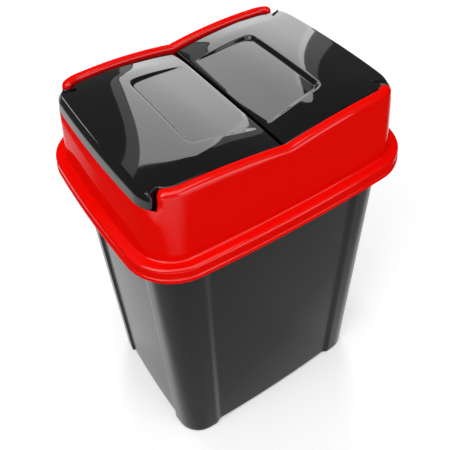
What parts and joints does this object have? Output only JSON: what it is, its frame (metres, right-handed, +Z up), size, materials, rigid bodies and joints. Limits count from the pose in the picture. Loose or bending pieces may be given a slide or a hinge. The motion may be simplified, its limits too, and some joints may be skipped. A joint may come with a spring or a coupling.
{
  "type": "double recycling bin",
  "caption": "Tall floor bin with a lift-off hood, rocking flaps over a middle gap, and lift-out buckets with bail handles inside.",
  "frame": {"origin": "on the floor, under the middle of the bin", "axes": "+Z up; +X along the longer side, from the left flap to the right flap; the pictured long side faces -Y"},
  "size_m": [0.4, 0.317, 0.5609],
  "materials": {
    "body_plastic": "satin charcoal",
    "hood_plastic": "gloss red",
    "flap_plastic": "high-gloss black",
    "bucket_plastic": "satin grey",
    "bail_wire": "drawn steel wire",
    "grip_plastic": "satin black"
  },
  "bodies": {
    "body": {"bin_body": "body_plastic"},
    "hood": {"hood": "hood_plastic"},
    "flap_right": {"flap_right": "flap_plastic"},
    "flap_left": {"flap_left": "flap_plastic"},
    "bucket_right": {"bucket_right": "bucket_plastic"},
    "bucket_left": {"bucket_left": "bucket_plastic"},
    "bail_right": {"bail_right": "bail_wire", "grip_right": "grip_plastic"},
    "bail_left": {"bail_left": "bail_wire", "grip_left": "grip_plastic"}
  },
  "joints": [
    {"name": "hood_lift", "type": "slide", "parent": "body", "child": "hood", "axis": [0, 0, 1], "range_m": [0, 0.62]},
    {"name": "flap_right_rock", "type": "hinge", "parent": "hood", "child": "flap_right", "pos_m": [0.082, 0, 0.5365], "axis": [0, -1, 0], "range_deg": [0, 75]},
    {"name": "flap_left_rock", "type": "hinge", "parent": "hood", "child": "flap_left", "pos_m": [-0.082, 0, 0.5365], "axis": [0, 1, 0], "range_deg": [0, 75]},
    {"name": "bucket_right_lift", "type": "slide", "parent": "body", "child": "bucket_right", "axis": [0, 0, 1], "range_m": [0, 0.465]},
    {"name": "bucket_left_lift", "type": "slide", "parent": "body", "child": "bucket_left", "axis": [0, 0, 1], "range_m": [0, 0.465]},
    {"name": "bail_right_swing", "type": "hinge", "parent": "bucket_right", "child": "bail_right", "pos_m": [0.082, 0, 0.4363], "axis": [0, -1, 0], "range_deg": [0, 180]},
    {"name": "bail_left_swing", "type": "hinge", "parent": "bucket_left", "child": "bail_left", "pos_m": [-0.082, 0, 0.4363], "axis": [0, 1, 0], "range_deg": [0, 180]}
  ],
  "couplings": [
    {"joint": "bucket_right_lift", "follows": "hood_lift", "ratio": 0.75},
    {"joint": "bucket_left_lift", "follows": "hood_lift", "ratio": 0.75}
  ]
}
